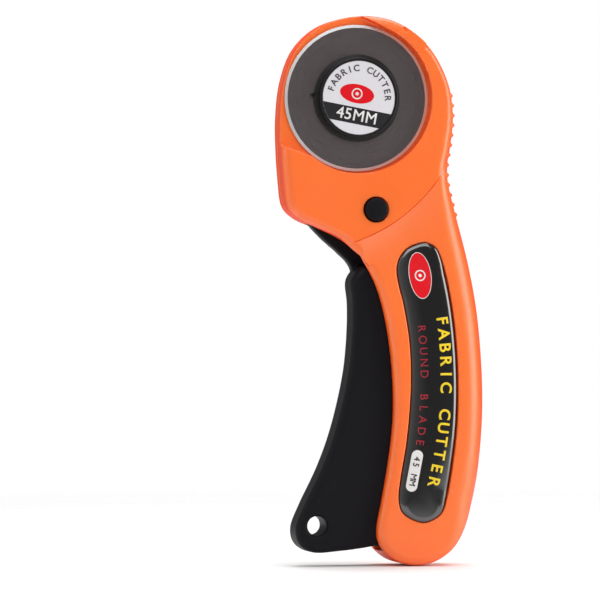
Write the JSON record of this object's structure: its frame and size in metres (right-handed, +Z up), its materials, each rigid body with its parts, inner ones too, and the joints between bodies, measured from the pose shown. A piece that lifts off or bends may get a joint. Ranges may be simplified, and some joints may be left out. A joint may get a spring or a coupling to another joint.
{
  "type": "rotary cutter",
  "caption": "Hand-held rotary cutter with a round blade on a squeeze lever, two-part plastic casing, glossy grip inlays, lock button and hang hole.",
  "frame": {"origin": "middle of the hand grip, on the plane halfway through the handle's thickness", "axes": "+Z up along the handle towards the blade, +X towards the thumb side, and the blade and cap face -Y"},
  "size_m": [0.0635, 0.0238, 0.1685],
  "materials": {
    "casing_orange": "satin moulded plastic",
    "gloss_black": "high gloss",
    "matt_black": "fine matt texture",
    "plated_steel": "bright plated",
    "blade_steel": "ground, with a bright honed edge",
    "label_white": "printed"
  },
  "bodies": {
    "casing": {"front_shell": "casing_orange", "rear_shell": "casing_orange", "front_inlay": "gloss_black", "rear_inlay": "gloss_black", "pivot_pin": "plated_steel", "return_spring": "plated_steel", "button_clip": "plated_steel", "screw_head_top": "plated_steel", "screw_head_side": "plated_steel", "screw_neck": "plated_steel", "screw_handle": "plated_steel", "screw_tail": "plated_steel"},
    "lever": {"trigger_lever": "matt_black"},
    "blade_set": {"blade": "blade_steel", "bolt_cap": "gloss_black", "cap_label": "label_white", "blade_bolt": "plated_steel", "wave_washer": "plated_steel"},
    "nut": {"tension_nut": "matt_black"},
    "lock": {"lock_button": "matt_black"}
  },
  "joints": [
    {"name": "trigger_squeeze", "type": "hinge", "parent": "casing", "child": "lever", "pos_m": [-0.0235, 0, 0.0325], "axis": [0, -1, 0], "range_deg": [0, 7.5], "stiffness_Nm_per_rad": 1.2, "springref_deg": -14.32, "deforming": ["return_spring"]},
    {"name": "blade_spin", "type": "hinge", "parent": "lever", "child": "blade_set", "pos_m": [-0.0078, 0, 0.059], "axis": [0, -1, 0], "continuous": true},
    {"name": "nut_turn", "type": "hinge", "parent": "blade_set", "child": "nut", "pos_m": [-0.0078, 0, 0.059], "axis": [0, -1, 0], "range_deg": [-90, 90]},
    {"name": "lock_push", "type": "slide", "parent": "casing", "child": "lock", "axis": [0, 1, 0], "range_m": [0, 0.003]}
  ]
}
